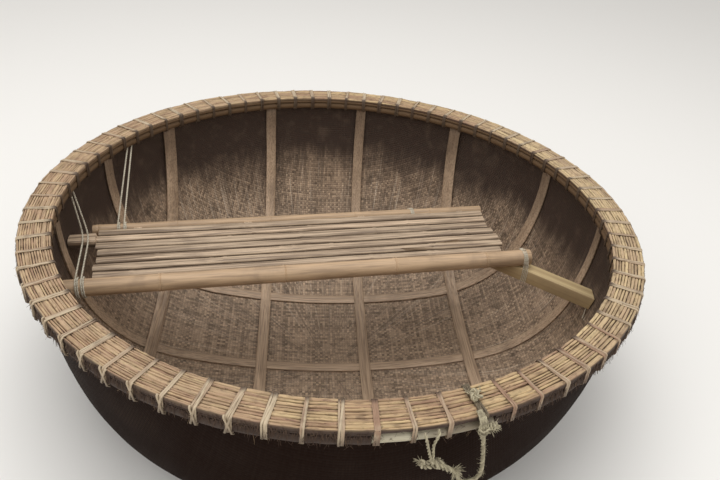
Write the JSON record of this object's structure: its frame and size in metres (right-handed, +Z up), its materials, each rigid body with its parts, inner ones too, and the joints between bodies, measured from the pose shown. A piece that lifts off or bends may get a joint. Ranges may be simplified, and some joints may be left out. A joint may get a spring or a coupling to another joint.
{
  "type": "coracle",
  "caption": "Round woven bamboo basket boat with a lashed strip rim, bent ribs, a slatted bench and a slack rope bight outside the rim.",
  "frame": {"origin": "centre of the round boat on the still water it floats in when laden", "axes": "+Z up, +X roughly along the bench towards its free end, the bench being turned 8.4 degrees from it, +Y across the boat, away from the side with the rope"},
  "size_m": [2.0004, 2.0156, 0.8036],
  "materials": {
    "hull": "dark resin over woven bamboo, satin",
    "rim_strip": "dry straw-coloured bamboo strips, matt",
    "hoop": "weathered brown bamboo, matt",
    "new_hoop": "pale split bamboo, matt",
    "lashing": "split rattan, greyish pink, matt",
    "rib": "weathered split bamboo, matt",
    "pole": "worn bamboo poles, satin",
    "slat": "worn split bamboo, satin",
    "timber": "bare sawn wood, matt",
    "twine": "pale twine",
    "rope": "weathered three-strand rope, matt"
  },
  "bodies": {
    "root": {"hull_shell": "hull", "rim_strips": "rim_strip", "inner_hoop": "hoop", "outer_hoop": "hoop", "new_outer_hoop": "new_hoop", "rim_lashings": "lashing", "rope_lashing": "rope", "cross_timber": "timber", "bench_front_pole": "pole", "bench_rear_pole": "pole", "bench_bearers": "slat", "bench_slings": "twine", "mooring_rope": "rope", "rope_knot_right": "rope", "rope_knot_top": "rope", "rope_knot_left": "rope", "rope_strands": "rope", "long_rib_1": "rib", "long_rib_2": "rib", "long_rib_3": "rib", "cross_rib_1": "rib", "cross_rib_2": "rib", "cross_rib_3": "rib", "cross_rib_4": "rib", "bench_slat_1": "slat", "bench_slat_2": "slat", "bench_slat_3": "slat", "bench_slat_4": "slat", "bench_slat_5": "slat", "bench_slat_6": "slat", "bench_slat_7": "slat"}
  },
  "joints": []
}
